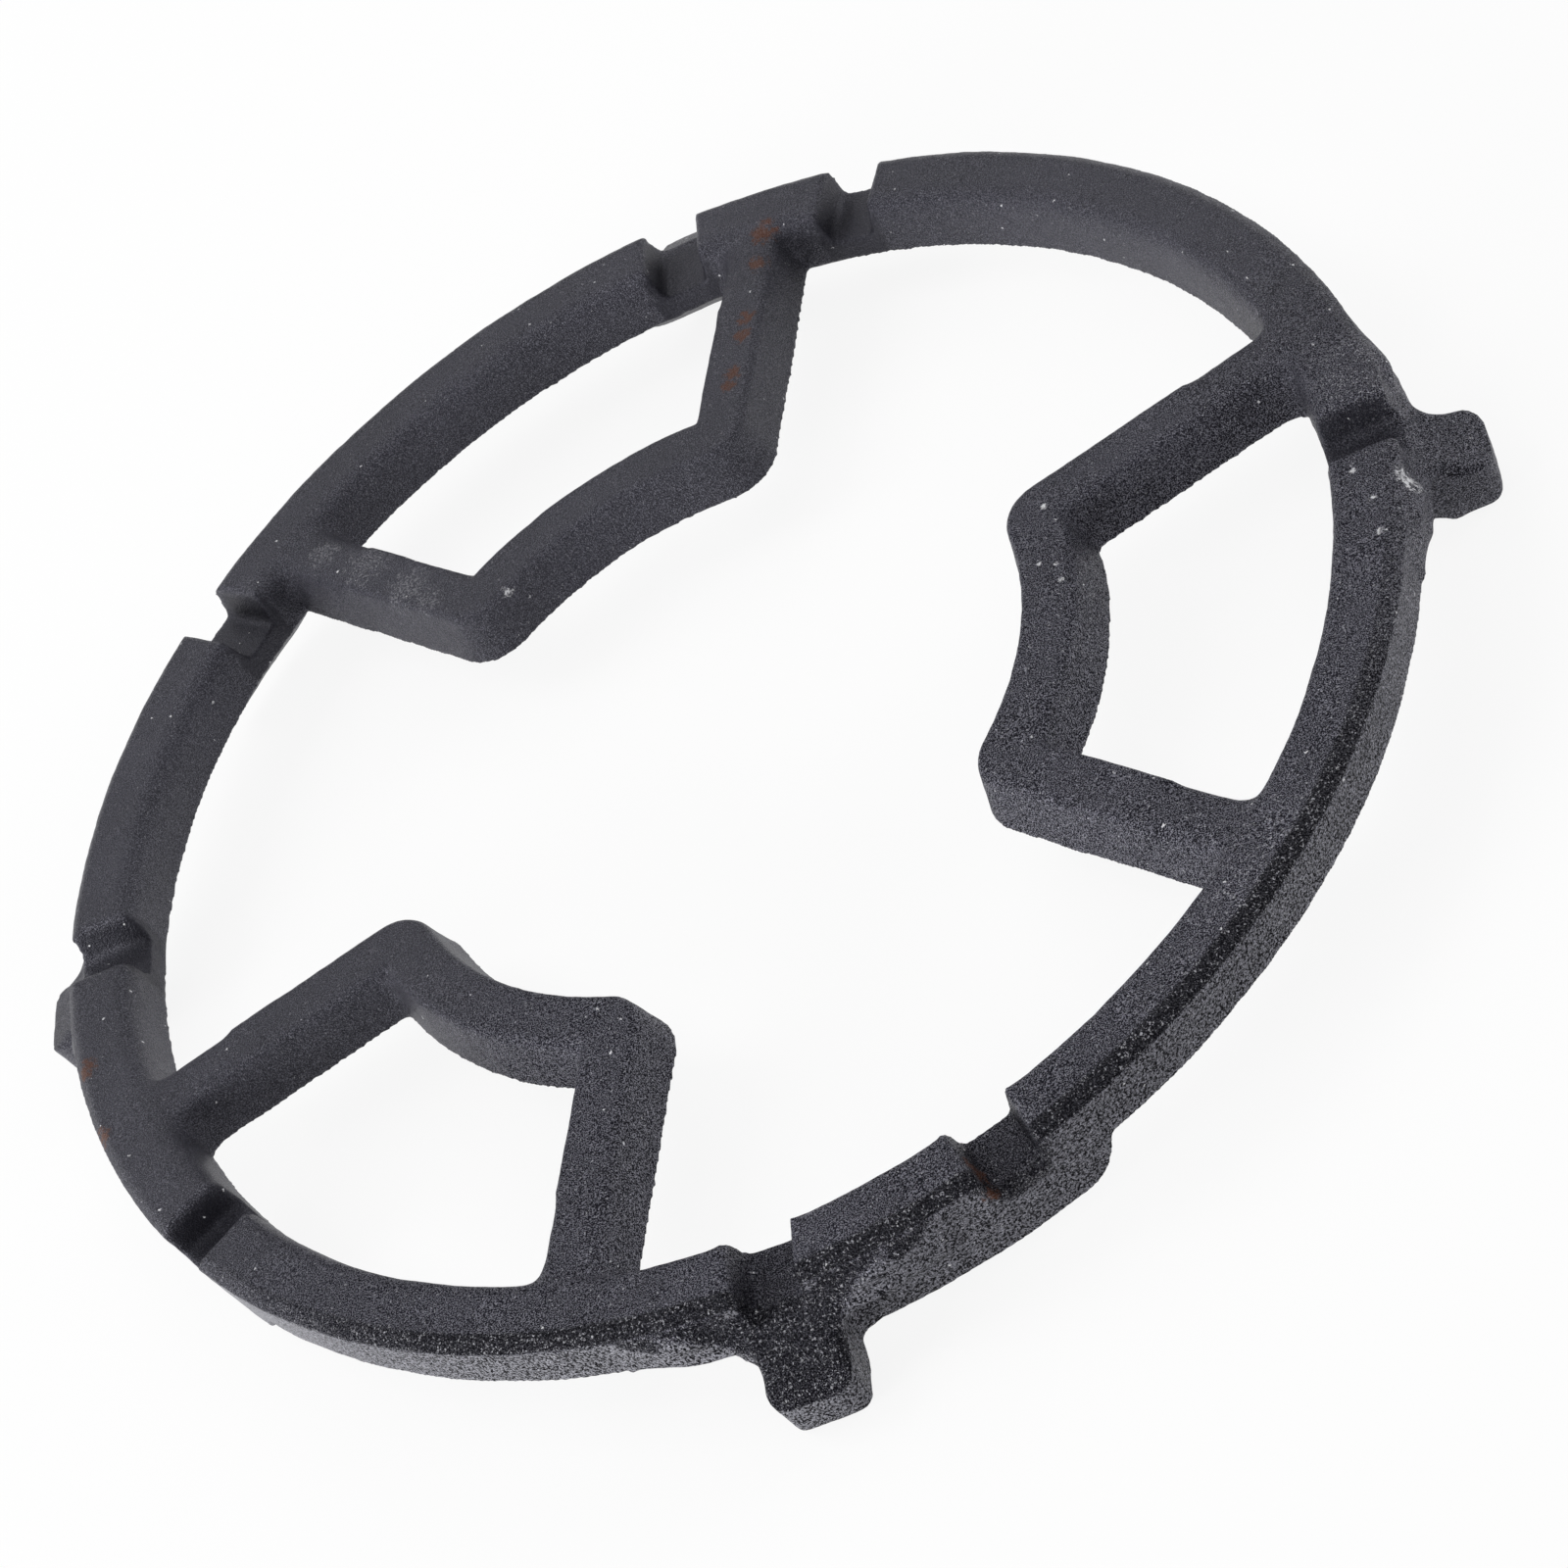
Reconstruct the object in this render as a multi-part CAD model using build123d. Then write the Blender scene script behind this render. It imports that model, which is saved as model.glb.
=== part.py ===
from build123d import *
import os
from math import cos, radians, sin, sqrt, tan

# Cast-iron pan support: one ring with claw slots across its top face, three loops that reach
# inward to carry a small pan, a thickening under each slot and four lugs that stand out in
# line with the slots of the four-claw set. Millimetres, +Z up. The part stands on its lug feet
# at z = 0, with the ring's axis on Z. Heights called depth are measured down from the top face.

# Ring section
top_diameter = 220.0  # outer edge of the flat top face
flat_width = 8.5  # width of the flat top face
ring_depth = 10.0  # top face to the underside
rim_out = 1.6  # how far the widest line stands outside the flat top
rim_depth = 1.3  # depth of the widest line, where the two halves of the mould met
rim_round = 1.2  # radius along the outer edge of the flat top
wall_draft = 4.6  # degrees, outer wall below the rim
brow_in = 1.2  # how far the sloping inner edge reaches in from the flat top
brow_depth = 2.5  # depth of that sloping edge
inner_draft = 7.6  # degrees, inner wall below the brow

# Slots for the claws of the hob, angles as cast, the first shared by both sets
four_claw_angles = (-0.2, 88.5, 179.8, 270.7)
five_claw_angles = (70.8, 142.8, 216.2, 289.8)
slot_width = 10.0  # at the top face
slot_depth = 6.2
slot_draft = 11.0  # degrees, each side wall
slot_floor_round = 1.5
slot_lip_round = 1.2
slot_flare = 25.0  # degrees, how the slot opens out through the outer edge
slot_flare_length = 2.0  # radial length of that opening inside the rim

# Thickenings under the slots
boss_depth = 16.5  # top face to their lowest line
boss_length = 26.8  # along the ring at the ring's underside
boss_low_length = 19.4  # along the ring at the lowest line
boss_end_round = 6.0
lug_boss_length = 21.0  # the same three sizes under a slot with a lug
lug_boss_low_length = 18.0
lug_boss_end_round = 3.0
boss_land = 3.4  # width of the lowest face
boss_step = 1.0  # from the ring's inner lower edge to the sloping inner face

# Lugs in line with the four-claw slots, each on a pad that stands proud of the wall
lug_angles = (-0.2, 88.5, 179.8, 270.95)  # as cast
lug_out = 10.4  # from the rim to the end of a lug
lug_width = 12.8  # at its top
lug_draft = 5.0  # degrees, sides and end below the top edge of its end
lug_end_depth = 12.4  # depth of the top edge at the lug's end
lug_end_round = 3.0
lug_root_depth = 7.4  # depth where the sloping top turns up to the rim
lug_root_out = 1.2  # from the rim to that turn
lug_root_round = 4.0
lug_side_round = 4.0  # in plan, lug side to pad
lug_low_round = 2.6  # in plan, lug side to wall below the pad
foot_depth = 19.8  # top face to the foot, the height of the part
foot_length = 8.0  # radial length of the foot
foot_round = 1.8
pad_out = 2.4  # from the rim to the edge of the pad
pad_depth = 8.2  # depth of that edge beside the lug
pad_lip = 0.8  # height of the upright face below that edge
pad_shoulder_depth = 4.5  # depth of that edge towards the ends of the pad
pad_length = 50.0  # along the ring, where the pad leaves the wall
pad_edge_length = 25.0  # along the ring at the pad's edge
pad_end_round = 6.0
dip_length = 23.0  # along the ring, between the two shoulders
dip_low_length = 17.0  # along the ring, at the low edge between them

# Loops
loop_count = 3
loop_angle = 107.0  # middle of the first loop
arm_angle = 30.0  # degrees between an arm and the middle line of its loop
arm_offset = 5.65  # the arm's middle line passes the ring axis at this distance
bar_radius = 56.9  # middle line of the bar, about the ring axis
loop_width = 12.6  # at the underside
loop_draft = 13.0  # degrees, each side wall
loop_drop = 1.0  # how far the loops lie below the top face
loop_edge_round = 1.4
knuckle_round = 8.6  # outer corner where an arm turns into the bar, at the underside
window_bar_round = 1.6  # window corners at the bar, at the underside
window_ring_round = 4.0  # window corners at the ring, at the underside
loop_seat = 8.0  # how far a loop runs into the ring

pass_by = 1.0  # overrun of a cut past the face it opens

# Levels and radii that follow from the sizes
top = foot_depth
ring_low = top - ring_depth
boss_low = top - boss_depth
flat_outer = top_diameter / 2
flat_inner = flat_outer - flat_width
rim = flat_outer + rim_out
rim_level = top - rim_depth
brow = flat_inner - brow_in
brow_level = top - brow_depth
inner_low = brow - (brow_level - ring_low) * tan(radians(inner_draft))
wall_low = rim - (rim_level - boss_low) * tan(radians(wall_draft))
loop_top = top - loop_drop
root = wall_low - boss_land / 2
lug_reach = rim + lug_out
lug_turn = (rim + lug_root_out, top - lug_root_depth)
claw_angles = four_claw_angles + five_claw_angles
reach_past = lug_reach + 10 * pass_by


def radial_plane(angle, distance=0.0):
    # Plane square to a radius: X runs along the ring, Y is up, the normal points outward.
    outward = Vector(cos(radians(angle)), sin(radians(angle)), 0)
    along = Vector(-sin(radians(angle)), cos(radians(angle)), 0)
    return Plane(origin=outward * distance, x_dir=along, z_dir=outward)


def turned(shape, angle):
    return Rot(0, 0, angle) * shape


def band(low, high, inside, outside):
    # Plain annular block between two levels.
    height = high - low
    ring = Circle(outside) - Circle(inside)
    return Pos(0, 0, low) * extrude(ring, height)


def near(shape, x, y, reach=0.2):
    # Corners of a flat shape at one place and at its mirror image across X.
    found = []
    for corner in shape.vertices():
        if abs(corner.X - x) < reach and abs(abs(corner.Y) - abs(y)) < reach:
            found.append(corner)
    return found


def deep_ring():
    # Ring with the depth of the thickenings all the way round.
    outline = Polyline(
        (inner_low, ring_low),
        (brow, brow_level),
        (flat_inner, top),
        (flat_outer, top),
        (rim, rim_level),
        (wall_low, boss_low),
        (wall_low - boss_land, boss_low),
        (inner_low + boss_step, ring_low),
        close=True,
    )
    section = make_face(outline)
    section = fillet(near(section, flat_outer, top), rim_round)
    return revolve(Plane.XZ * section, Axis.Z)


def boss_shape(angle, with_lug):
    # Block with the rounded ends of one thickening, running out past the ring.
    length = lug_boss_length if with_lug else boss_length
    low_length = lug_boss_low_length if with_lug else boss_low_length
    slope = (length - low_length) / 2 / (ring_low - boss_low)
    upper = length / 2 + slope * (top - ring_low)
    lower = low_length / 2
    floor = boss_low - pass_by / 50
    face = make_face(Polyline((-upper, top), (-lower, floor), (lower, floor), (upper, top), close=True))
    low_corners = face.vertices().group_by(Axis.Y)[0]
    face = fillet(low_corners, lug_boss_end_round if with_lug else boss_end_round)
    return extrude(radial_plane(angle) * face, 2 * reach_past)


def joined_bosses():
    # Where two slots stand close together their thickenings run on as one.
    wedges = []
    order = sorted(claw_angles)
    for first, second in zip(order, order[1:]):
        gap = radians(second - first) * rim
        if gap < 2 * boss_low_length + boss_end_round:
            wedge = make_face(
                Polyline(
                    (0, 0),
                    (reach_past * cos(radians(first)), reach_past * sin(radians(first))),
                    (reach_past * cos(radians(second)), reach_past * sin(radians(second))),
                    close=True,
                )
            )
            wedges.append(Pos(0, 0, boss_low - pass_by) * extrude(wedge, ring_depth))
    return wedges


def ring_with_bosses():
    hollow = band(boss_low - pass_by, ring_low, inner_low - 10 * pass_by, reach_past)
    for angle in claw_angles:
        hollow -= boss_shape(angle, angle in four_claw_angles)
    for wedge in joined_bosses():
        hollow -= wedge
    return deep_ring() - hollow


def pad_side(edge_depth, turn, lip):
    # Side view of the pad: top from the rim through a turn to its edge and lip, underside back to the wall.
    edge = rim + pad_out
    outline = [(root, rim_level), (flat_outer, rim_level), turn, (edge, top - edge_depth)]
    if lip:
        outline.append((edge, top - edge_depth - lip))
    outline += [(wall_low, ring_low), (root, ring_low)]
    return make_face(Polyline(*outline, close=True))


def pad():
    # Ledge on the outer wall beside a lug, on a radius along X. Its edge dips between two shoulders.
    edge = rim + pad_out
    near_end = (root, -pad_length / 2)
    near_edge = (edge, -pad_edge_length / 2)
    far_edge = (edge, pad_edge_length / 2)
    far_end = (root, pad_length / 2)
    plan = Circle(edge) & make_face(Polyline(near_end, near_edge, far_edge, far_end, close=True))
    ends = [v for v in plan.vertices() if v.X > root + pass_by]
    block = extrude(fillet(ends, pad_end_round), top)
    low_side = pad_side(pad_depth, lug_turn, pad_lip)
    low_side = fillet(near(low_side, *lug_turn), lug_root_round)
    high_side = pad_side(pad_shoulder_depth, (rim, rim_level - rim_out / 4), 0)
    low_part = block & revolve(Plane.XZ * low_side, Axis.Z)
    high_part = block & revolve(Plane.XZ * high_side, Axis.Z)
    # The dip's sides run up from its low edge at one slope, through the shoulders' edge.
    low_half = dip_low_length / 2
    dip_slope = (dip_length - dip_low_length) / 2 / (pad_depth - pad_shoulder_depth)
    crest = low_half + dip_slope * pad_depth
    right_side = [(low_half, 0), (low_half, top - pad_depth), (crest, top)]
    left_side = [(-x, y) for x, y in reversed(right_side)]
    dip = make_face(Polyline(*right_side, *left_side, close=True))
    return low_part + (high_part - extrude(radial_plane(0.0) * dip, reach_past))


def rooted(finger, edge, corner_round):
    # Plan of the finger's root, rounded into a straight edge on each side.
    wide = lug_width + 2 * corner_round + pass_by / 5
    wings = Pos((root + edge) / 2, 0) * Rectangle(edge - root, wide)
    plan = fillet(near(finger + wings, edge, lug_width / 2), corner_round)
    return plan & Rectangle(2 * (edge + corner_round), wide)


def lug():
    # Finger with its root rounded into the pad and the wall, on a radius along X.
    heel = root - boss_land / 2
    end_level = top - lug_end_depth
    pad_low = top - pad_depth - pad_lip
    finger = Pos((heel + lug_reach) / 2, 0) * Rectangle(lug_reach - heel, lug_width)
    pad_root = rooted(finger, rim + pad_out / 2, lug_side_round)
    wall_root = rooted(finger, wall_low, lug_low_round)
    finger = fillet(near(finger, lug_reach, lug_width / 2), lug_end_round)
    body = Pos(0, 0, end_level) * (extrude(finger, lug_end_depth) + extrude(finger, -end_level, taper=lug_draft))
    body += Pos(0, 0, pad_low) * extrude(pad_root, top - pad_low)
    body += Pos(0, 0, boss_low) * extrude(wall_root, pad_low - boss_low)
    # Side view: sloping top that turns up to the rim, flat foot, rounded lower edge.
    end_low = lug_reach - end_level * tan(radians(lug_draft))
    side = make_face(
        Polyline(
            (root, boss_low),
            (end_low - foot_length, 0),
            (end_low, 0),
            (lug_reach, end_level),
            lug_turn,
            (flat_outer, rim_level),
            (root, rim_level),
            close=True,
        )
    )
    side = fillet(near(side, *lug_turn), lug_root_round)
    side = fillet(near(side, end_low, 0), foot_round)
    body &= extrude(Plane.XZ * side, pad_length, both=True)
    return body + pad()


def slot_face(with_lips):
    # Cross-section of a slot with a rounded floor, open above the top face, and rounded lips if wanted.
    half_top = slot_width / 2
    slope = tan(radians(slot_draft))
    floor = top - slot_depth
    half_floor = half_top - slot_depth * slope
    brim = top + pass_by / 20
    right_side = [(half_floor, floor)]
    if with_lips:
        right_side += [(half_top, brim), (slot_width, brim), (slot_width, top + slot_depth)]
    else:
        right_side += [(half_top + slot_depth * slope, top + slot_depth)]
    left_side = [(-x, y) for x, y in reversed(right_side)]
    face = make_face(Polyline(*right_side, *left_side, close=True))
    floor_corners = [v for v in face.vertices() if abs(v.Y - floor) < pass_by / 10]
    face = fillet(floor_corners, slot_floor_round)
    if with_lips:
        lip_corners = [v for v in face.vertices() if abs(abs(v.X) - half_top) < pass_by / 10]
        face = fillet(lip_corners, slot_lip_round)
    return face


def slot(angle):
    start = inner_low - 4 * pass_by
    return extrude(radial_plane(angle, start) * slot_face(True), reach_past - start)


def slot_mouth(angle):
    # The outer end of a slot opens out, floor and sides alike.
    start = rim - slot_flare_length
    length = slot_flare_length + 2 * pass_by
    return extrude(radial_plane(angle, start) * slot_face(False), length, taper=-slot_flare)


def between_arms(inset, inside, outside):
    # Plan of the space between the arms' middle lines, moved in by inset, from one radius to another.
    tip = (arm_offset + inset) / sin(radians(arm_angle))
    far = 2 * reach_past
    rise = far * tan(radians(arm_angle))
    wedge = make_face(Polyline((tip, 0), (tip + far, rise), (tip + far, -rise), close=True))
    return (Circle(outside) - Circle(inside)) & wedge


def corners_at(plan, radius):
    return [v for v in plan.vertices() if abs(Vector(v.X, v.Y, 0).length - radius) < pass_by / 10]


def window_plan(level):
    # Plan of a window at one level, a hair wide of the bars so that it cuts the web alone.
    widening = (level - ring_low) * tan(radians(loop_draft))
    half = loop_width / 2 - widening - pass_by / 50
    bar_side = bar_radius + half
    ring_side = inner_low + boss_step + widening
    plan = between_arms(half, bar_side, ring_side)
    plan = fillet(corners_at(plan, bar_side), window_bar_round + widening)
    plan = fillet(corners_at(plan, ring_side), window_ring_round + widening)
    return Pos(0, 0, level) * plan


def upright_section(left, left_lean, right, right_lean):
    # Cross-section of a bar, standing on the underside, with rounded upper edges where a side leans.
    height = loop_top - ring_low
    crest_left = left + left_lean
    crest_right = right - right_lean
    face = make_face(Polyline((left, 0), (right, 0), (crest_right, height), (crest_left, height), close=True))
    crests = near(face, crest_right, height)
    if left_lean:
        crests += near(face, crest_left, height)
    return Pos(0, ring_low) * fillet(crests, loop_edge_round)


def loop():
    # Middle lines meet in a corner that is turned about its own centre, fuller outside than inside.
    half = loop_width / 2
    lean = (loop_top - ring_low) * tan(radians(loop_draft))
    bar_section = upright_section(-half, lean, half, lean)
    corner_section = upright_section(0, 0, knuckle_round, lean)
    corner = knuckle_round - half
    along = Vector(cos(radians(arm_angle)), sin(radians(arm_angle)), 0)
    aside = Vector(-sin(radians(arm_angle)), cos(radians(arm_angle)), 0)
    offset = arm_offset + corner
    run = sqrt((bar_radius + corner) ** 2 - offset**2)
    centre = along * run - aside * offset
    turn = aside.get_angle(-centre)
    spread = Vector(1, 0, 0).get_angle(centre)
    length = sqrt((inner_low + loop_seat) ** 2 - arm_offset**2) - run
    arm_start = Plane(origin=centre + aside * corner, x_dir=aside, z_dir=along)
    corner_start = Plane(origin=centre, x_dir=aside, z_dir=along)
    side = extrude(arm_start * bar_section, length)
    side += revolve(corner_start * corner_section, Axis(centre, (0, 0, 1)), turn)
    outward = Vector(cos(radians(spread)), -sin(radians(spread)), 0)
    bar_start = Plane(origin=outward * bar_radius, x_dir=outward, z_dir=outward.cross(Vector(0, 0, 1)))
    bar = revolve(bar_start * bar_section, Axis.Z, 2 * spread)
    bars = bar + side + mirror(side, about=Plane.XZ)
    # Web that rounds the four corners of the window.
    web = between_arms(0, bar_radius, inner_low + loop_seat / 2)
    web = Pos(0, 0, ring_low) * extrude(web, loop_top - ring_low - loop_edge_round)
    low_face = window_plan(ring_low - pass_by).face()
    high_face = window_plan(top + pass_by).face()
    web -= loft([low_face, high_face], ruled=True)
    return bars + web


support = ring_with_bosses()
one_loop = loop()
for place in range(loop_count):
    support += turned(one_loop, loop_angle + place * 360 / loop_count)
one_lug = lug()
for place in lug_angles:
    support += turned(one_lug, place)
for claw in claw_angles:
    support -= slot(claw)
    support -= slot_mouth(claw)

os.makedirs("parts", exist_ok=True)
export_step(support.solid(), "parts/pan_support.step")
print("solids", len(support.solids()), "volume", round(support.volume, 1))
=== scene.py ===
from math import cos, radians, sin

import bpy
import numpy as np
from mathutils import Matrix, Vector
from mathutils.kdtree import KDTree


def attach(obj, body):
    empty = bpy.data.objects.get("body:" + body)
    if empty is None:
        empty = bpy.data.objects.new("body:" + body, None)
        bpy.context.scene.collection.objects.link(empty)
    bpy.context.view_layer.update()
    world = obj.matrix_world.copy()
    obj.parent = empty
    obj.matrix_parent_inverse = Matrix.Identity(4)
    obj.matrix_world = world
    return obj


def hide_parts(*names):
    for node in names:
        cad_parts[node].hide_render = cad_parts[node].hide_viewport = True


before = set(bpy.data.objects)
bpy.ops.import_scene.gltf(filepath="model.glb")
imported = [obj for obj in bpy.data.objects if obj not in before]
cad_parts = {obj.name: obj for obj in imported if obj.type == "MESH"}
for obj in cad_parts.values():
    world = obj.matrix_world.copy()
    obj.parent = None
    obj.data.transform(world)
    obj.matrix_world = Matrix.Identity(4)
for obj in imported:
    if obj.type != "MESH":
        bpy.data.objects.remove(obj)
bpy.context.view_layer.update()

scene = bpy.context.scene
scene.view_settings.view_transform = "Standard"
print("frame loaded:", list(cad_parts))


def selectOnly(thing):
    bpy.ops.object.select_all(action="DESELECT")
    thing.select_set(True)
    bpy.context.view_layer.objects.active = thing


def triangleCount(thing):
    return sum(len(face.vertices) - 2 for face in thing.data.polygons)


def applyModifier(thing, kind, **settings):
    selectOnly(thing)
    step = thing.modifiers.new(kind.lower(), kind)
    for name, value in settings.items():
        setattr(step, name, value)
    bpy.ops.object.modifier_apply(modifier=step.name)


# the casting: a copy of the solid, with soft cast edges, sand unevenness and flash on its lower edges
casting = {
    "node": "pan_support",
    "mergeGap": 0.000002,
    "voxel": 0.00045,
    "softPasses": 2,  # smoothing that rounds every edge a little
    "softFactor": 0.45,
    "meltFactor": 0.5,  # smoothing of the pads, the brow and the feet
    "triangles": 185000,
    # slow unevenness, sand texture, and lumps along the lower edges
    "swell": {"height": 0.00030, "width": 0.0110, "depth": 1, "contrast": 1.0, "middle": 0.5},
    "sand": {"height": 0.00016, "width": 0.0021, "depth": 3, "contrast": 1.0, "middle": 0.5},
    "flash": {"height": 0.00018, "width": 0.0010, "depth": 2, "contrast": 2.2, "middle": 0.42},
    "flashLevel": 0.0098,  # the underside of ring and loops
    "flashBand": 0.0007,
    "flashReach": 0.1035,  # inside this radius
    "flashFacing": (-0.95, 0.4),  # upward part of the normal on those edges
    "flashShare": (0.6, 0.4),  # mean and swing of the lumps' height along the edge
    "flashWaves": (420, 3, 260),  # radians a metre along x, their bend, and its radians a metre along y
    "knob": {"centre": (0.1108, -0.0176, 0.0110), "radius": 0.0016, "cuts": 3},  # lump of iron on the wall by a lug
    "wallStart": 0.1090,  # outer surfaces begin at this radius
    "sideFade": 0.002,  # the melted stretches set in over this width
    "levelFade": 0.001,  # and over this height
    "lugAngles": (-0.2, 88.5, 179.8, 270.7),  # degrees, as in the solid
    "padSpan": (0.0045, 0.0240),  # pads, by distance from a lug's middle line
    "padLevels": (0.0085, 0.0182),
    "padPasses": 90,  # smoothing that melts their hollows and creases
    "browSpan": (0.0860, 0.1035),  # the ring's inner brow and the roots of the loops, by radius
    "browLevel": 0.0125,
    "browPasses": 110,
    "footStart": 0.1150,  # the outer ends of the lugs, whose lower corners are rounded
    "footTop": 0.0060,
    "footPasses": 14,
    "partingLevel": 0.0182,  # the line where the mould parted, along the rim
    "partingBlur": 0.0004,
    "partingDip": ((0.0069, 0.0085, 0.0120, 0.0145, 0.0175),  # beside a lug: distance from its middle line
                   (0.0105, 0.0126, 0.0156, 0.0168, 0.0182)),  # and level of the line there
    "mouthDip": ((0.0, 0.0034, 0.0050, 0.0066),  # the same at the mouth of a slot without a lug
                 (0.0113, 0.0116, 0.0142, 0.0182)),
    "upwardStart": 0.03,  # elsewhere a face counts as upper skin from this upward part of its normal
    "upwardSpan": 0.12,
    "paleLoss": 0.5,  # lower skin is less pale where it faces up, as its painted light from the floor below is weaker there
    "paleFacing": 0.5,
    "slotAngles": (-0.2, 70.8, 88.5, 142.8, 179.8, 216.2, 270.7, 289.8),
    "slotHalf": 0.0056,  # half the width of a slot with its lips
    "slotTop": 0.0193,
    "slotFade": 0.0016,  # depth over which its shade sets in
    "slotReach": (0.0960, 0.1112),  # from the inner wall to the rim
    "slotMouthFade": 0.0015,
    "slotFloorShade": 0.70,  # on the middle of the floor, against 1 at the sides
    "slotSides": (0.4, 0.9),  # shares of the half width over which that changes
}


def readPoints(piece, name):
    values = np.empty(len(piece.data.vertices) * 3)
    piece.data.vertices.foreach_get(name, values)
    return values.reshape(-1, 3)


def keepValues(piece, name, values):
    piece.data.attributes.new(name, "FLOAT", "POINT").data.foreach_set("value", values)


def ramp(values, length):
    return np.clip(values / length, 0, 1)


def fromAxis(place):
    return np.hypot(place[:, 0], place[:, 1])


def besideLine(place, angle):
    # how far out along the line at this angle each point lies, and how far beside it
    turn = np.radians(angle)
    outward = place[:, 0] * np.cos(turn) + place[:, 1] * np.sin(turn)
    beside = np.abs(place[:, 1] * np.cos(turn) - place[:, 0] * np.sin(turn))
    return outward, beside


def weightGroup(piece, name, weight):
    group = piece.vertex_groups.new(name=name)
    step = 0.25
    for level in np.arange(step, 1 + step, step):
        chosen = np.nonzero((weight > level - step) & (weight <= level))[0]
        group.add(chosen.tolist(), level, "REPLACE")
    return group.name


def flashGroup(piece):
    # lower edges of the loops and of the ring's inner wall, strongest on the edge itself, in uneven stretches
    place = readPoints(piece, "co")
    upward = readPoints(piece, "normal")[:, 2]
    nearLevel = 1 - np.abs(place[:, 2] - casting["flashLevel"]) / casting["flashBand"]
    inside = fromAxis(place) < casting["flashReach"]
    low, high = casting["flashFacing"]
    sideways = (upward > low) & (upward < high)
    mean, swing = casting["flashShare"]
    wave, bend, bendWave = casting["flashWaves"]
    stretches = mean + swing * np.sin(place[:, 0] * wave + bend * np.sin(place[:, 1] * bendWave))
    weight = np.where(inside & sideways, np.clip(nearLevel, 0, 1) * stretches, 0)
    return weightGroup(piece, "lowerEdges", weight)


def padGroup(piece):
    # pads beside the lugs, below the rim
    place = readPoints(piece, "co")
    weight = np.zeros(len(place))
    start, end = casting["padSpan"]
    for angle in casting["lugAngles"]:
        outward, beside = besideLine(place, angle)
        within = ramp(np.minimum(beside - start, end - beside), casting["sideFade"])
        weight = np.maximum(weight, np.where(outward > 0, within, 0))
    low, high = casting["padLevels"]
    weight *= ramp(np.minimum(place[:, 2] - low, high - place[:, 2]), casting["levelFade"])
    weight *= ramp(fromAxis(place) - casting["wallStart"], casting["levelFade"])
    return weightGroup(piece, "pads", weight)


def browGroup(piece):
    # the ring's inner upper edge, where it runs into the loops, away from the slots
    place = readPoints(piece, "co")
    radius = fromAxis(place)
    start, end = casting["browSpan"]
    weight = ramp(np.minimum(radius - start, end - radius), casting["sideFade"])
    weight *= ramp(place[:, 2] - casting["browLevel"], casting["levelFade"])
    for angle in casting["slotAngles"]:
        outward, beside = besideLine(place, angle)
        weight *= np.where(outward > 0, ramp(beside - casting["slotHalf"], casting["sideFade"]), 1)
    return weightGroup(piece, "brow", weight)


def footGroup(piece):
    place = readPoints(piece, "co")
    weight = ramp(fromAxis(place) - casting["footStart"], casting["levelFade"])
    weight *= ramp(casting["footTop"] - place[:, 2], casting["levelFade"])
    return weightGroup(piece, "feet", weight)


def shadeSlots(piece):
    # painted shade in the slots: how far each point lies down inside a slot, kept on the mesh for the material,
    # which darkens and dulls the slots by it
    place = readPoints(piece, "co")
    depth = ramp(casting["slotTop"] - place[:, 2], casting["slotFade"])
    start, end = casting["slotReach"]
    sideStart, sideEnd = casting["slotSides"]
    floorShade = casting["slotFloorShade"]
    shade = np.zeros(len(place))
    for angle in casting["slotAngles"]:
        outward, beside = besideLine(place, angle)
        within = (beside < casting["slotHalf"]) & (outward > start) & (outward < end)
        sides = ramp(beside / casting["slotHalf"] - sideStart, sideEnd - sideStart)
        mouth = ramp(end - outward, casting["slotMouthFade"])
        inSlot = depth * (floorShade + (1 - floorShade) * sides) * mouth
        shade = np.maximum(shade, np.where(within, inSlot, 0))
    keepValues(piece, "slotShade", shade)


def mouldHalves(piece):
    # outer surfaces split at the parting line: below it the wall, painted paler, partly its own skin and partly
    # painted light, and above it the pads and lug tops, which get painted shade
    place = readPoints(piece, "co")
    facing = readPoints(piece, "normal")[:, 2]
    outer = (fromAxis(place) > casting["wallStart"]) & (place[:, 2] < casting["partingLevel"])
    upper = ramp(facing - casting["upwardStart"], casting["upwardSpan"])
    lugs = casting["lugAngles"]
    dips = [(angle, casting["partingDip"]) for angle in lugs]
    dips += [(angle, casting["mouthDip"]) for angle in casting["slotAngles"] if angle not in lugs]
    for angle, (distances, levels) in dips:
        outward, beside = besideLine(place, angle)
        within = (outward > 0) & (beside > distances[0]) & (beside < distances[-1])
        aboveLine = place[:, 2] - np.interp(beside, distances, levels)
        upper = np.where(within, np.clip(aboveLine / casting["partingBlur"] + 0.5, 0, 1), upper)
    pale = 1 - casting["paleLoss"] * ramp(facing, casting["paleFacing"])
    return np.where(outer, (1 - upper) * pale, 0), np.where(outer, upper, 0)


def keepHalves(piece, plainPoints, halves):
    # each point takes the value of the nearest point of the mesh before it was roughened
    nearest = [plainPoints.find(point.co)[1] for point in piece.data.vertices]
    for name, values in zip(("lowerSkinAndLight", "padShade"), halves):
        keepValues(piece, name, values[nearest])


def copySolid():
    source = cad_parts[casting["node"]]
    piece = bpy.data.objects.new("ironCasting", source.data.copy())
    scene.collection.objects.link(piece)
    piece.data.materials.clear()
    selectOnly(piece)
    bpy.ops.object.mode_set(mode="EDIT")
    bpy.ops.mesh.select_all(action="SELECT")
    bpy.ops.mesh.remove_doubles(threshold=casting["mergeGap"])
    bpy.ops.mesh.normals_make_consistent(inside=False)
    bpy.ops.object.mode_set(mode="OBJECT")
    return piece


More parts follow.
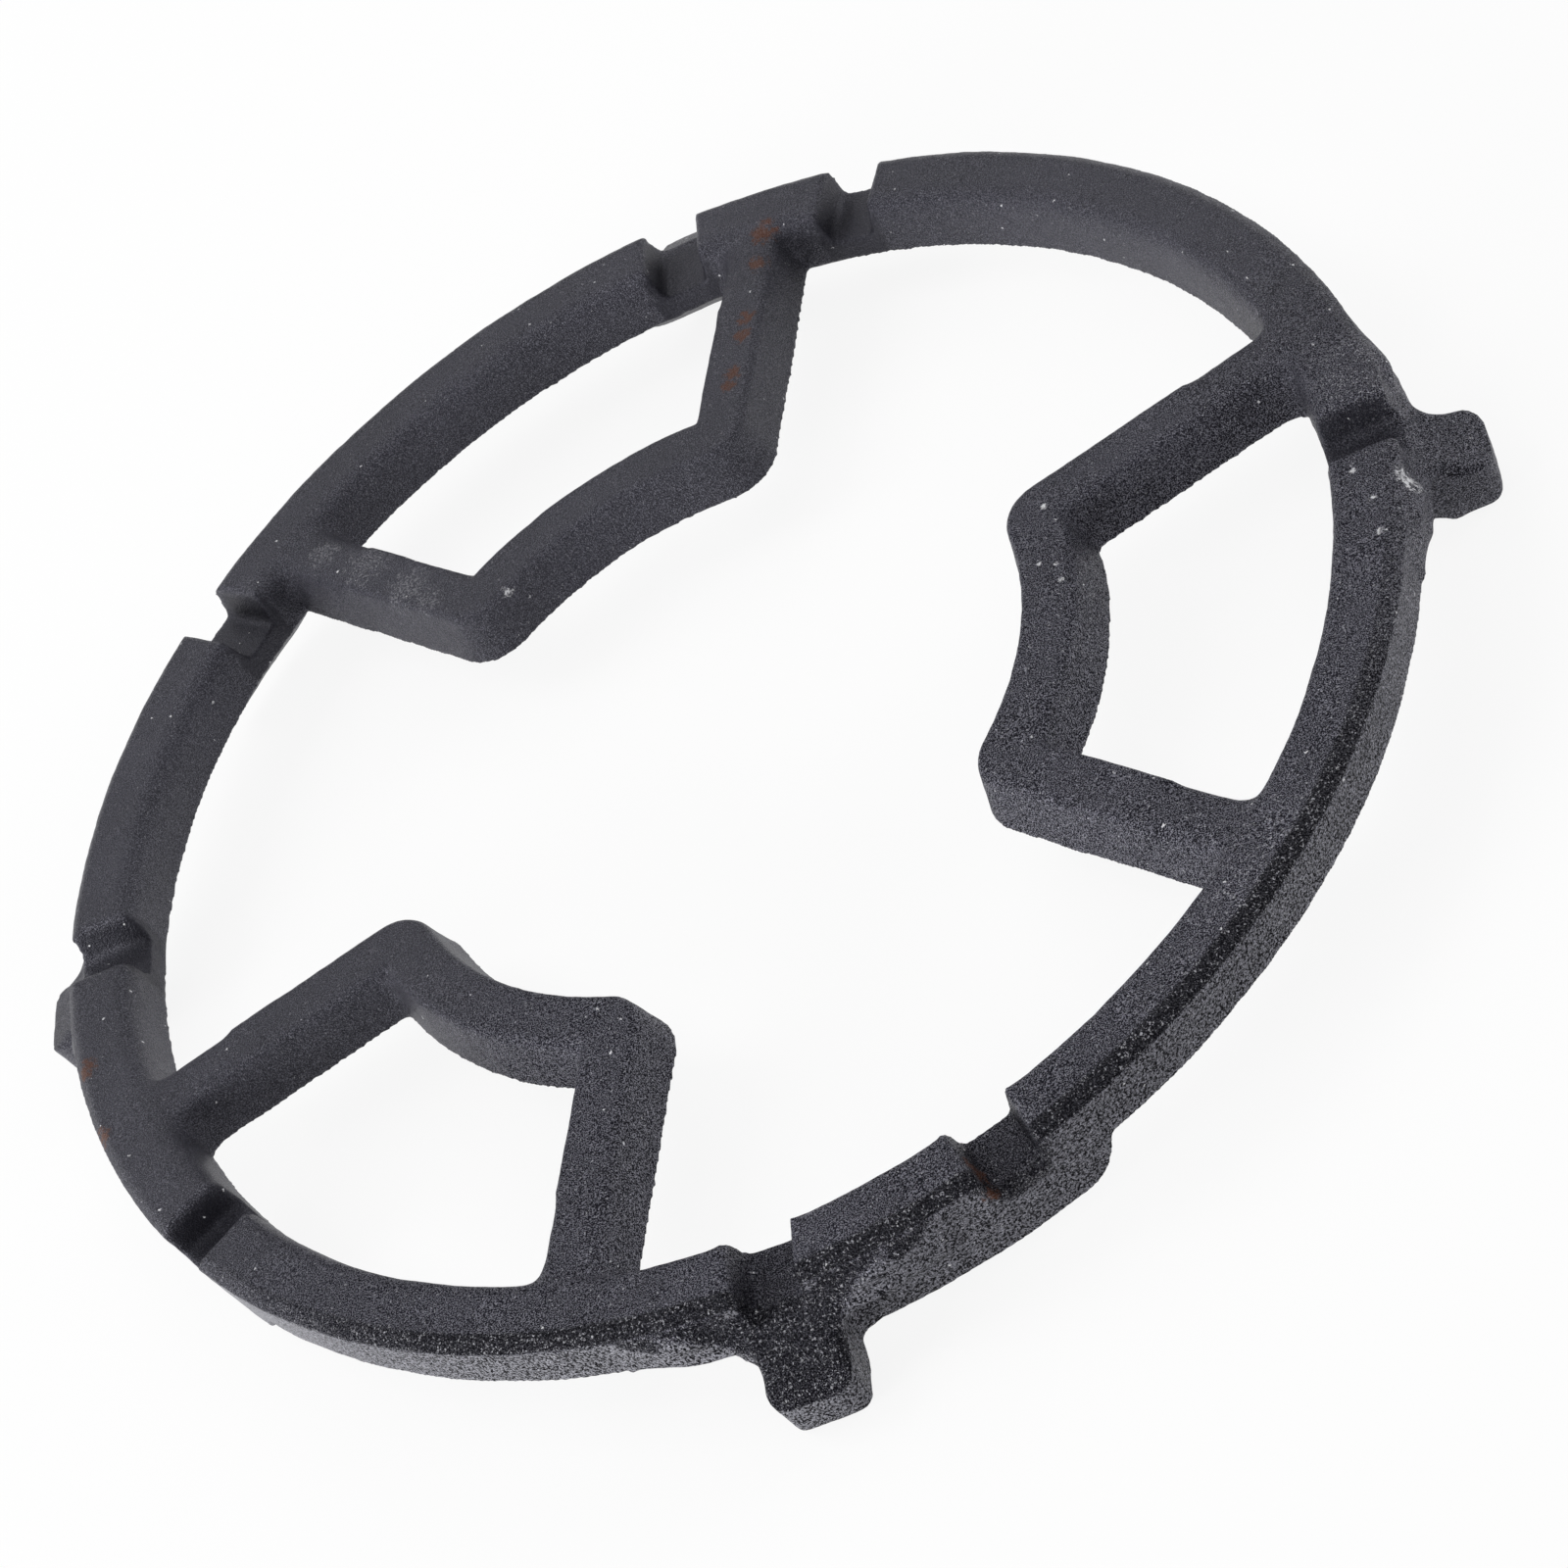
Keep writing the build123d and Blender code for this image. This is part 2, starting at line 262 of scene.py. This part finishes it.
def addKnob(piece):
    knob = casting["knob"]
    bpy.ops.object.select_all(action="DESELECT")
    bpy.ops.mesh.primitive_ico_sphere_add(subdivisions=knob["cuts"], radius=knob["radius"], location=knob["centre"])
    piece.select_set(True)
    bpy.context.view_layer.objects.active = piece
    bpy.ops.object.join()


def melt(piece, passes, group):
    applyModifier(piece, "SMOOTH", factor=casting["meltFactor"], iterations=passes, vertex_group=group)


def roughen(piece, name, group=""):
    layer = casting[name]
    cloud = bpy.data.textures.new(name + "Cloud", "CLOUDS")
    cloud.noise_scale = layer["width"]
    cloud.noise_depth = layer["depth"]
    cloud.contrast = layer["contrast"]
    applyModifier(piece, "DISPLACE", strength=layer["height"], mid_level=layer["middle"],
                  texture_coords="LOCAL", texture=cloud, vertex_group=group)


def makeCasting():
    piece = copySolid()
    addKnob(piece)
    applyModifier(piece, "REMESH", mode="VOXEL", voxel_size=casting["voxel"])
    applyModifier(piece, "SMOOTH", factor=casting["softFactor"], iterations=casting["softPasses"])
    melt(piece, casting["padPasses"], padGroup(piece))
    melt(piece, casting["browPasses"], browGroup(piece))
    melt(piece, casting["footPasses"], footGroup(piece))
    piece.vertex_groups.clear()
    print("casting remeshed:", triangleCount(piece), "triangles")
    halves = mouldHalves(piece)
    plainPoints = KDTree(len(piece.data.vertices))
    for point in piece.data.vertices:
        plainPoints.insert(point.co, point.index)
    plainPoints.balance()
    roughen(piece, "swell")
    roughen(piece, "sand")
    roughen(piece, "flash", flashGroup(piece))
    piece.vertex_groups.clear()
    applyModifier(piece, "DECIMATE", ratio=casting["triangles"] / triangleCount(piece))
    selectOnly(piece)
    bpy.ops.object.shade_smooth()
    shadeSlots(piece)
    keepHalves(piece, plainPoints, halves)
    print("casting finished:", triangleCount(piece), "triangles")
    return piece


ironCasting = makeCasting()


# shader helpers
def link(tree, start, end):
    tree.links.new(start, end)


def fillSocket(tree, socket, value):
    if isinstance(value, (int, float, tuple)):
        socket.default_value = value
    else:
        link(tree, value, socket)


def mathNode(tree, operation, *values, clamp=False):
    node = tree.nodes.new("ShaderNodeMath")
    node.operation = operation
    node.use_clamp = clamp
    for socket, value in zip(node.inputs, values):
        fillSocket(tree, socket, value)
    return node.outputs[0]


def times(tree, first, second):
    return mathNode(tree, "MULTIPLY", first, second)


def larger(tree, first, second):
    return mathNode(tree, "MAXIMUM", first, second)


def lineNode(tree, value, gain, base):
    return mathNode(tree, "MULTIPLY_ADD", value, gain, base)


def opposite(tree, value):
    return mathNode(tree, "SUBTRACT", 1.0, value)


def rangeNode(tree, value, low, high, toLow=0.0, toHigh=1.0):
    node = tree.nodes.new("ShaderNodeMapRange")
    node.interpolation_type = "SMOOTHSTEP"
    link(tree, value, node.inputs["Value"])
    for name, number in (("From Min", low), ("From Max", high), ("To Min", toLow), ("To Max", toHigh)):
        node.inputs[name].default_value = number
    return node.outputs[0]


def noiseNode(tree, place, scale, detail, roughness):
    node = tree.nodes.new("ShaderNodeTexNoise")
    link(tree, place, node.inputs["Vector"])
    node.inputs["Scale"].default_value = scale
    node.inputs["Detail"].default_value = detail
    node.inputs["Roughness"].default_value = roughness
    return node.outputs[0]


def mixColour(tree, factor, first, second):
    node = tree.nodes.new("ShaderNodeMix")
    node.data_type = "RGBA"
    link(tree, factor, node.inputs[0])
    for socket, value in ((node.inputs[6], first), (node.inputs[7], second)):
        fillSocket(tree, socket, (*value, 1.0) if isinstance(value, tuple) else value)
    return node.outputs[2]


def attributeNode(tree, name):
    node = tree.nodes.new("ShaderNodeAttribute")
    node.attribute_name = name
    return node.outputs["Fac"]


def newGroup(name, inputs):
    # a group that takes these vectors and numbers and puts out one mask
    tree = bpy.data.node_groups.new(name, "ShaderNodeTree")
    for socketName, kind in inputs:
        tree.interface.new_socket(name=socketName, in_out="INPUT", socket_type=kind)
    tree.interface.new_socket(name="Mask", in_out="OUTPUT", socket_type="NodeSocketFloat")
    return tree, tree.nodes.new("NodeGroupInput").outputs, tree.nodes.new("NodeGroupOutput").inputs["Mask"]


def placeGroup(tree, group, **values):
    node = tree.nodes.new("ShaderNodeGroup")
    node.node_tree = group
    for name, value in values.items():
        fillSocket(tree, node.inputs[name], value)
    return node.outputs["Mask"]


patchShape = {
    "noiseMiddle": 0.5,
    "noiseGain": 4.0,
    "edge": (0.1, 0.75),  # shares of the radius over which the broken edge fades
    "limit": (0.0, 0.3),  # the same for the outermost edge, which the noise doesn't reach past
}


def patchGroup():
    # soft round patch about a point, its edge broken up by the noise handed in
    tree, given, mask = newGroup("patchMask", (
        ("Place", "NodeSocketVector"), ("Centre", "NodeSocketVector"), ("Radius", "NodeSocketFloat"),
        ("Noise", "NodeSocketFloat"), ("Ragged", "NodeSocketFloat")))
    away = tree.nodes.new("ShaderNodeVectorMath")
    away.operation = "DISTANCE"
    link(tree, given["Place"], away.inputs[0])
    link(tree, given["Centre"], away.inputs[1])
    near = opposite(tree, mathNode(tree, "DIVIDE", away.outputs["Value"], given["Radius"]))
    uneven = mathNode(tree, "SUBTRACT", given["Noise"], patchShape["noiseMiddle"])
    spread = lineNode(tree, times(tree, uneven, given["Ragged"]), patchShape["noiseGain"], near)
    inside = times(tree, rangeNode(tree, spread, *patchShape["edge"]), rangeNode(tree, near, *patchShape["limit"]))
    link(tree, inside, mask)
    return tree


fleckShape = {
    "wanderScale": 2.2,  # noise that moves the cells off their grid
    "wander": 0.9,
    "leastSize": 0.35,
    "edge": (0.0, 0.5),
}


def fleckGroup():
    # scattered grains: one small dot in some of the cells, each of its own size
    tree, given, mask = newGroup("scatteredFlecks", (
        ("Place", "NodeSocketVector"), ("Cells", "NodeSocketFloat"), ("Size", "NodeSocketFloat"),
        ("Share", "NodeSocketFloat")))
    wander = tree.nodes.new("ShaderNodeTexNoise")
    link(tree, given["Place"], wander.inputs["Vector"])
    wander.inputs["Scale"].default_value = fleckShape["wanderScale"]
    shift = tree.nodes.new("ShaderNodeVectorMath")
    shift.operation = "MULTIPLY_ADD"
    link(tree, wander.outputs["Color"], shift.inputs[0])
    shift.inputs[1].default_value = (fleckShape["wander"],) * 3
    link(tree, given["Place"], shift.inputs[2])
    cells = tree.nodes.new("ShaderNodeTexVoronoi")
    link(tree, shift.outputs[0], cells.inputs["Vector"])
    link(tree, given["Cells"], cells.inputs["Scale"])
    pick = tree.nodes.new("ShaderNodeSeparateColor")
    link(tree, cells.outputs["Color"], pick.inputs[0])
    size = times(tree, given["Size"], mathNode(tree, "ADD", pick.outputs[1], fleckShape["leastSize"]))
    outFrom = mathNode(tree, "DIVIDE", cells.outputs["Distance"], size)
    dot = mathNode(tree, "SUBTRACT", 1.0, outFrom, clamp=True)
    chosen = mathNode(tree, "LESS_THAN", pick.outputs[0], given["Share"])
    link(tree, times(tree, rangeNode(tree, dot, *fleckShape["edge"]), chosen), mask)
    return tree


# the iron: dark as-cast skin, with grain, bright grains partly painted as glints, pits, a rim band, pads, lug tops
# and slots darkened with painted shade, an outer wall with painted light, rust and scuffs; lengths in millimetres
iron = {
    "skin": (0.025, 0.0245, 0.0335),
    "skinDark": (0.012, 0.0118, 0.0165),
    # rim: the black of the painted shade on the rim band, pads, lug tops and slots, and of the wall's pits
    "rim": (0.006, 0.006, 0.008),
    "wallFar": (0.052, 0.0515, 0.062),  # the outer wall below the parting line, behind: its paler skin with some painted light
    "wall": (0.130, 0.1295, 0.147),  # and at the front, with more painted light from the reflected floor
    "litWallColour": (0.200, 0.200, 0.220),  # painted light on its lower left stretch, where the low left lamp falls
    # bright grains: partly pale grain, partly painted glints
    "grainAndGlint": (0.46, 0.46, 0.49),
    "chip": (0.72, 0.72, 0.74),
    "pit": (0.008, 0.008, 0.010),
    "rust": (0.088, 0.034, 0.017),
    "scuff": (0.22, 0.22, 0.235),
    "shineTint": (0.86, 0.855, 1.0),
    "rough": 0.42,
    "roughGrain": 0.32,
    "ior": 1.70,
    "grainHeight": 0.00042,  # in metres
    "millimetres": 1000,  # in a metre
    "angles": {  # the side where the painted shade on the rim and lugs is blackest, the grain strongest, and the painted light on the wall palest
        "front": 285,
        "coarse": 300,
        "litSide": 240,
    },
    "noises": {  # scale, detail, roughness
        "cloud": (0.045, 3.0, 0.5),
        "fine": (5.0, 1.5, 0.5),
        "worm": (2.7, 2.0, 0.5),
        "blotch": (0.8, 4.0, 0.65),
    },
    "flecks": {  # cells to a millimetre, size of a dot, share of cells with a dot
        "pits": (1.8, 0.34, 0.40),
        "grains": (2.2, 0.30, 0.35),
        "chips": (0.55, 0.13, 0.16),
        # painted glints along the rim band, pads and glint patches
        "rimGlints": (2.6, 0.40, 0.60),
    },
    "spans": {  # where each mask sets in and where it is full
        "tone": (0.36, 0.64),
        "coarse": (-0.1, 0.9, 0.3, 1.0),  # with the strength of the grain behind and at the front
        "front": (0.35, 0.80),
        "litSide": (0.72, 0.97),
        "wall": (0.55, 0.80),
        "gloss": (0.43, 0.66),
        "rimRadius": (108.7, 109.6),
        "rimLevel": (18.0, 18.4),
        "worm": (0.53, 0.45),
        "scuff": (0.47, 0.62),
        "chip": (0.42, 0.56),
    },
    "atFront": {  # what the front adds, and the strength elsewhere
        "rim": (0.85, 0.15),
        "pad": (0.9, 0.1),
        "worm": (0.65, 0.35),
    },
    "shares": {  # how strongly each mask colours the skin
        "cloud": 0.5,
        "fine": 0.5,
        "pad": 0.9,
        "slot": 0.5,
        "black": 0.9,
        "sparkle": 0.9,
        "pits": 0.8,
        "shine": 0.8,
        "rust": 0.9,
        "scuff": 0.7,
    },
    "slotCalm": {"coarse": -0.6, "shine": -0.7, "relief": -0.6},  # slots away from the front are smoother
    "gloss": (2.1, -0.62),  # gain and base of the grain's shine
    "shineBase": 0.38,
    "dulling": {"pits": 0.7, "black": 0.78, "worm": 0.85, "slot": 0.45, "rust": 0.5},
    "relief": {"worm": 0.6, "fine": 0.6, "pits": 0.35, "shine": 0.25},
    "ragged": {"wall": 0.4, "glint": 0.3, "rust": 0.9, "scuff": 0.8, "chip": 0.5},  # how far noise breaks an edge
    "spots": {  # centre and radius
        "rust": [
            ((19.6, 98.4, 19.2), 3.2),
            ((17.6, 92.0, 18.8), 2.6),
            ((14.6, 80.3, 18.8), 2.2),
            ((13.6, 76.5, 18.8), 2.4),
            ((11.2, 68.4, 18.8), 2.2),
            ((10.3, 66.0, 18.8), 1.8),
            ((32.6, -103.1, 15.9), 2.8),
            ((33.4, -105.4, 15.2), 2.0),
            ((32.2, -102.0, 17.3), 2.0),
            ((-106.8, -24.0, 19.6), 2.6),
            ((-104.0, -38.5, 19.6), 2.6),
        ],
        "scuff": [
            ((-64.7, 68.5, 18.8), 4.0),
            ((-56.5, 61.5, 18.8), 6.0),
            ((-49.2, 51.8, 18.8), 5.5),
            ((-45.7, 47.2, 18.8), 4.0),
            ((92.0, -27.0, 19.8), 4.0),
        ],
        "chip": [
            ((111.4, -12.7, 17.4), 3.2),
            ((-30.9, 41.3, 18.8), 2.2),
            ((-26.2, 41.9, 18.8), 1.6),
            ((58.3, 10.2, 18.8), 0.8),
            ((56.1, -0.9, 18.8), 0.6),
            ((58.6, -2.3, 18.8), 0.6),
            ((58.9, -5.8, 18.8), 0.7),
            ((55.4, -8.0, 18.8), 0.6),
            ((-78.0, -22.3, 18.8), 0.8),
            ((106.1, -15.9, 19.8), 0.8),
            ((106.0, -22.8, 19.8), 0.9),
            ((104.3, -9.2, 19.8), 0.7),
        ],
        # patches with more painted glints
        "glint": [
            ((82.0, -75.5, 18.0), 20.0),
            ((66.0, -90.0, 18.0), 13.0),
            ((109.5, 10.0, 18.0), 13.0),
        ],
    },
}


def millimetrePlace(tree):
    # the object's own coordinates, the three of them apart, and the distance from the ring's axis
    where = tree.nodes.new("ShaderNodeTexCoord")
    scale = tree.nodes.new("ShaderNodeMapping")
    scale.inputs["Scale"].default_value = (iron["millimetres"],) * 3
    link(tree, where.outputs["Object"], scale.inputs["Vector"])
    place = scale.outputs["Vector"]
    split = tree.nodes.new("ShaderNodeSeparateXYZ")
    link(tree, place, split.inputs[0])
    squares = [mathNode(tree, "POWER", part, 2.0) for part in split.outputs[:2]]
    return place, split.outputs, mathNode(tree, "SQRT", mathNode(tree, "ADD", *squares))


def towards(tree, parts, across, kind):
    # a mask on the side at this kind's angle about the ring's axis
    turn = radians(iron["angles"][kind])
    along = mathNode(tree, "ADD", times(tree, parts[0], cos(turn)), times(tree, parts[1], sin(turn)))
    return rangeNode(tree, mathNode(tree, "DIVIDE", along, across), *iron["spans"][kind])


def patchMasks(tree, group, place, noise, kind):
    total = None
    for centre, radius in iron["spots"][kind]:
        mask = placeGroup(tree, group, Place=place, Centre=centre, Radius=radius, Noise=noise,
                          Ragged=iron["ragged"][kind])
        total = mask if total is None else larger(tree, total, mask)
    return total


def makeIron():
    skin = bpy.data.materials.new("castIronSkin")
    skin.use_nodes = True
    tree = skin.node_tree
    shader = tree.nodes["Principled BSDF"]
    place, parts, across = millimetrePlace(tree)
    spans, shares, calm = iron["spans"], iron["shares"], iron["slotCalm"]
    atFront, dulling, relief = iron["atFront"], iron["dulling"], iron["relief"]

    noise = {name: noiseNode(tree, place, *values) for name, values in iron["noises"].items()}
    flecks = fleckGroup()
    dots = {name: placeGroup(tree, flecks, Place=place, Cells=cells, Size=size, Share=share)
            for name, (cells, size, share) in iron["flecks"].items()}
    patches = patchGroup()
    glint = patchMasks(tree, patches, place, noise["cloud"], "glint")
    rust = patchMasks(tree, patches, place, noise["blotch"], "rust")
    scuff = patchMasks(tree, patches, place, noise["blotch"], "scuff")
    broken = patchMasks(tree, patches, place, noise["worm"], "chip")

    # sides of the ring, and the masks kept on the mesh
    coarse = towards(tree, parts, across, "coarse")
    front = towards(tree, parts, across, "front")
    litSide = towards(tree, parts, across, "litSide")
    slotShade = attributeNode(tree, "slotShade")
    wallEdge = lineNode(tree, noise["worm"], iron["ragged"]["wall"], attributeNode(tree, "lowerSkinAndLight"))
    wall = rangeNode(tree, wallEdge, *spans["wall"])
    # painted shade on the pads and lug tops, strongest at the front
    pad = times(tree, attributeNode(tree, "padShade"), lineNode(tree, front, *atFront["pad"]))
    slotSmooth = times(tree, slotShade, opposite(tree, front))
    coarse = times(tree, coarse, lineNode(tree, slotSmooth, calm["coarse"], 1.0))

    # skin, then painted shade on the rim band, pads, lug tops and slots, blackest at the front
    tone = mathNode(tree, "ADD", times(tree, noise["cloud"], shares["cloud"]),
                    times(tree, noise["fine"], shares["fine"]))
    colour = mixColour(tree, rangeNode(tree, tone, *spans["tone"]), iron["skinDark"], iron["skin"])
    # painted shade: a black band along the rounded rim edge, for the dark it reflects, strongest at the front
    rimOut = times(tree, rangeNode(tree, across, *spans["rimRadius"]), rangeNode(tree, parts[2], *spans["rimLevel"]))
    rimOut = times(tree, rimOut, lineNode(tree, front, *atFront["rim"]))
    black = larger(tree, rimOut, times(tree, pad, shares["pad"]))
    # painted shade in the slots, deepest down inside them
    black = larger(tree, black, times(tree, slotShade, shares["slot"]))
    colour = mixColour(tree, times(tree, black, shares["black"]), colour, iron["rim"])

    # outer wall: paler, partly its own skin and partly painted light, palest on the lit stretch, with worm-like pits
    wallColour = mixColour(tree, front, iron["wallFar"], iron["wall"])
    # painted light on the lower left stretch of the wall
    wallColour = mixColour(tree, litSide, wallColour, iron["litWallColour"])
    wormPits = times(tree, rangeNode(tree, noise["worm"], *spans["worm"]), lineNode(tree, front, *atFront["worm"]))
    wallColour = mixColour(tree, wormPits, wallColour, iron["rim"])
    colour = mixColour(tree, wall, colour, wallColour)

    # pits, and bright grains that are partly pale grain and partly painted glints, more of them along the rim
    pits = times(tree, dots["pits"], coarse)
    # painted glints along the rim band and pads and in the glint patches
    sparkle = times(tree, larger(tree, rimOut, pad), shares["sparkle"])
    paintedGlints = times(tree, dots["rimGlints"], larger(tree, glint, sparkle))
    shine = larger(tree, times(tree, dots["grains"], coarse), paintedGlints)
    shine = times(tree, shine, lineNode(tree, slotSmooth, calm["shine"], 1.0))
    colour = mixColour(tree, times(tree, pits, shares["pits"]), colour, iron["pit"])
    colour = mixColour(tree, times(tree, shine, shares["shine"]), colour, iron["grainAndGlint"])

    # rust, scuffs and chips
    colour = mixColour(tree, times(tree, rust, shares["rust"]), colour, iron["rust"])
    scuff = times(tree, scuff, rangeNode(tree, noise["worm"], *spans["scuff"]))
    colour = mixColour(tree, times(tree, scuff, shares["scuff"]), colour, iron["scuff"])
    broken = times(tree, broken, rangeNode(tree, noise["blotch"], *spans["chip"]))
    colour = mixColour(tree, larger(tree, dots["chips"], broken), colour, iron["chip"])
    link(tree, colour, shader.inputs["Base Color"])

    # shine: strong on the grains, weak in pits, slots and rust and on what is black, which deepens the painted shade
    # there
    rough = lineNode(tree, shine, iron["roughGrain"] - iron["rough"], iron["rough"])
    link(tree, rough, shader.inputs["Roughness"])
    shader.inputs["IOR"].default_value = iron["ior"]
    dull = larger(tree, times(tree, pits, dulling["pits"]), times(tree, black, dulling["black"]))
    dull = larger(tree, dull, times(tree, times(tree, wormPits, wall), dulling["worm"]))
    dull = larger(tree, dull, times(tree, slotShade, dulling["slot"]))
    dull = larger(tree, dull, times(tree, rust, dulling["rust"]))
    dull = times(tree, dull, opposite(tree, shine))
    gloss = lineNode(tree, rangeNode(tree, noise["fine"], *spans["gloss"]), *iron["gloss"])
    level = times(tree, lineNode(tree, gloss, coarse, iron["shineBase"]), opposite(tree, dull))
    link(tree, larger(tree, level, 0.0), shader.inputs["Specular IOR Level"])
    shader.inputs["Specular Tint"].default_value = (*iron["shineTint"], 1.0)

    # grain as relief
    height = lineNode(tree, noise["worm"], relief["worm"], times(tree, noise["fine"], relief["fine"]))
    height = mathNode(tree, "SUBTRACT", height, times(tree, pits, relief["pits"]))
    height = mathNode(tree, "ADD", height, times(tree, shine, relief["shine"]))
    height = times(tree, height, lineNode(tree, slotSmooth, calm["relief"], 1.0))
    bump = tree.nodes.new("ShaderNodeBump")
    bump.inputs["Strength"].default_value = 1.0
    bump.inputs["Distance"].default_value = iron["grainHeight"]
    link(tree, height, bump.inputs["Height"])
    link(tree, bump.outputs["Normal"], shader.inputs["Normal"])
    return skin


ironCasting.data.materials.append(makeIron())
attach(ironCasting, "root")
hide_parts(casting["node"])
print("iron material made")


# floor, seen nearly white by the camera, with the object's shadow left on it
floorSheet = {"size": 6.0, "level": -0.0002, "colour": (0.93, 0.93, 0.93), "glow": 0.88}


def makeFloor():
    bpy.ops.object.select_all(action="DESELECT")
    bpy.ops.mesh.primitive_plane_add(size=floorSheet["size"], location=(0, 0, floorSheet["level"]))
    floor = bpy.context.view_layer.objects.active
    floor.name = "paleFloor"
    bpy.ops.object.transform_apply(location=True, rotation=True, scale=True)
    paper = bpy.data.materials.new("paleFloorPaper")
    paper.use_nodes = True
    tree = paper.node_tree
    tree.nodes.clear()
    matte = tree.nodes.new("ShaderNodeBsdfDiffuse")
    matte.inputs["Color"].default_value = (*floorSheet["colour"], 1.0)
    glow = tree.nodes.new("ShaderNodeEmission")
    ray = tree.nodes.new("ShaderNodeLightPath")
    seen = larger(tree, ray.outputs["Is Camera Ray"], ray.outputs["Is Glossy Ray"])
    seen = larger(tree, seen, ray.outputs["Is Transmission Ray"])
    blend = tree.nodes.new("ShaderNodeMixShader")
    link(tree, times(tree, seen, floorSheet["glow"]), blend.inputs[0])
    link(tree, matte.outputs[0], blend.inputs[1])
    link(tree, glow.outputs[0], blend.inputs[2])
    output = tree.nodes.new("ShaderNodeOutputMaterial")
    link(tree, blend.outputs[0], output.inputs["Surface"])
    floor.data.materials.append(paper)


makeFloor()

# soft studio light: a pale room, low panels on the left and right, one behind and one high up
lights = {
    "room": 0.46,
    "roomColour": (1, 1, 1, 1),
    "panels": [  # name, azimuth, elevation, distance, size, watts
        ("leftPanel", 218, 11, 1.0, 0.4, 8.5),
        ("rightPanel", 22, 12, 1.0, 0.4, 3.2),
        ("backPanel", 95, 38, 1.2, 0.6, 2.2),
        ("highPanel", 165, 50, 1.4, 0.7, 5.5),
    ],
}


def makeLights():
    room = bpy.data.worlds.new("dimRoom")
    room.use_nodes = True
    background = room.node_tree.nodes["Background"]
    background.inputs["Strength"].default_value = lights["room"]
    background.inputs["Color"].default_value = lights["roomColour"]
    scene.world = room
    for name, azimuth, elevation, distance, size, watts in lights["panels"]:
        turn, rise = radians(azimuth), radians(elevation)
        direction = Vector((cos(turn) * cos(rise), sin(turn) * cos(rise), sin(rise)))
        lamp = bpy.data.lights.new(name, "AREA")
        lamp.size = size
        lamp.energy = watts
        panel = bpy.data.objects.new(name, lamp)
        panel.location = direction * distance
        panel.rotation_euler = direction.to_track_quat("Z", "Y").to_euler()
        scene.collection.objects.link(panel)


makeLights()
print("floor and lights made")

# camera at the photograph's viewing angle
cameraView = {
    "place": (0.188576, -0.464234, 0.444542),
    "lens": 100.99,
    "sensor": 36.0,
    "nearest": 0.01,
    "rotationVector": (2.3383, -0.3176, -0.5194),  # world to picture, x right, y down, z ahead
}


def makeCamera():
    data = bpy.data.cameras.new("photoCamera")
    data.lens = cameraView["lens"]
    data.sensor_width = cameraView["sensor"]
    data.clip_start = cameraView["nearest"]
    camera = bpy.data.objects.new("photoCamera", data)
    spin = Vector(cameraView["rotationVector"])
    toPicture = Matrix.Rotation(spin.length, 3, spin.normalized())
    flip = Matrix(((1, 0, 0), (0, -1, 0), (0, 0, -1)))  # the camera looks along -z with y up
    camera.matrix_world = Matrix.Translation(cameraView["place"]) @ (toPicture.transposed() @ flip).to_4x4()
    scene.collection.objects.link(camera)
    scene.camera = camera


makeCamera()

print("scene ready")
